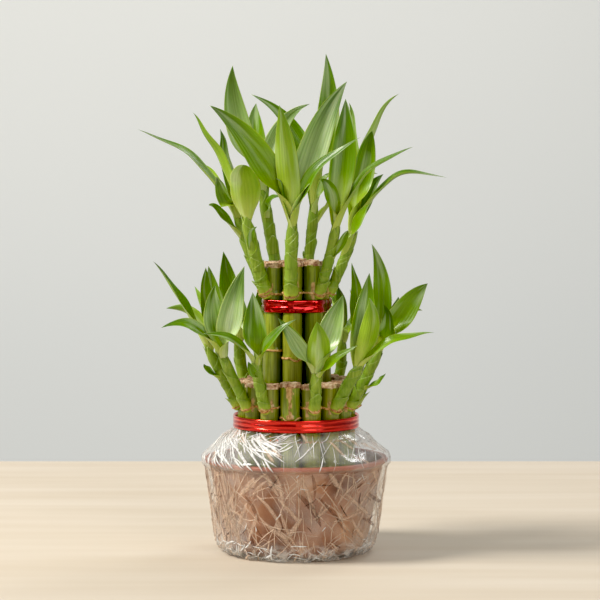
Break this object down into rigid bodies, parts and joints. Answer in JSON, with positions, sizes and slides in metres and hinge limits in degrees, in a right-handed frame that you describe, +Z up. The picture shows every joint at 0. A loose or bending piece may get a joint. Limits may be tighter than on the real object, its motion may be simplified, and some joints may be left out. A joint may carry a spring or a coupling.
{
  "type": "lucky bamboo in a bowl",
  "caption": "Two tied rings of cut green canes with leafy shoots, the inner ring taller, standing in gravel in a round brown bowl wrapped in clear film.",
  "frame": {"origin": "centre of the flat underside of the wrapped bowl, where it stands on a surface", "axes": "+Z up along the canes, -Y to the front, +X to the right"},
  "size_m": [0.1552, 0.1132, 0.2496],
  "materials": {
    "clear_film": "gloss",
    "brown_plastic": "satin",
    "gravel": "matte",
    "red_foil": "gloss",
    "cane": "satin",
    "leaf": "satin"
  },
  "bodies": {
    "root": {"film_wrap": "clear_film", "bowl": "brown_plastic", "gravel": "gravel", "ribbon_upper": "red_foil", "ribbon_lower": "red_foil", "cane_core": "cane", "cane_upper_1": "cane", "cane_upper_2": "cane", "cane_upper_3": "cane", "cane_upper_4": "cane", "cane_upper_5": "cane", "cane_upper_6": "cane", "cane_upper_7": "cane", "cane_lower_1": "cane", "cane_lower_2": "cane", "cane_lower_3": "cane", "cane_lower_4": "cane", "cane_lower_5": "cane", "cane_lower_6": "cane", "cane_lower_7": "cane", "cane_lower_8": "cane", "cane_lower_9": "cane", "cane_lower_10": "cane", "cane_lower_11": "cane", "cane_lower_12": "cane", "cane_lower_13": "cane", "cane_lower_14": "cane", "cane_lower_15": "cane", "shoot_upper_1": "leaf", "shoot_upper_2": "leaf", "shoot_upper_3": "leaf", "shoot_upper_4": "leaf", "shoot_upper_5": "leaf", "shoot_upper_6": "leaf", "shoot_upper_7": "leaf", "shoot_lower_2": "leaf", "shoot_lower_3": "leaf", "shoot_lower_4": "leaf", "shoot_lower_5": "leaf", "shoot_lower_6": "leaf", "shoot_lower_7": "leaf", "shoot_lower_8": "leaf", "shoot_lower_9": "leaf", "shoot_lower_10": "leaf", "shoot_lower_11": "leaf", "shoot_lower_12": "leaf", "shoot_lower_13": "leaf", "shoot_lower_14": "leaf", "shoot_lower_15": "leaf"}
  },
  "joints": []
}
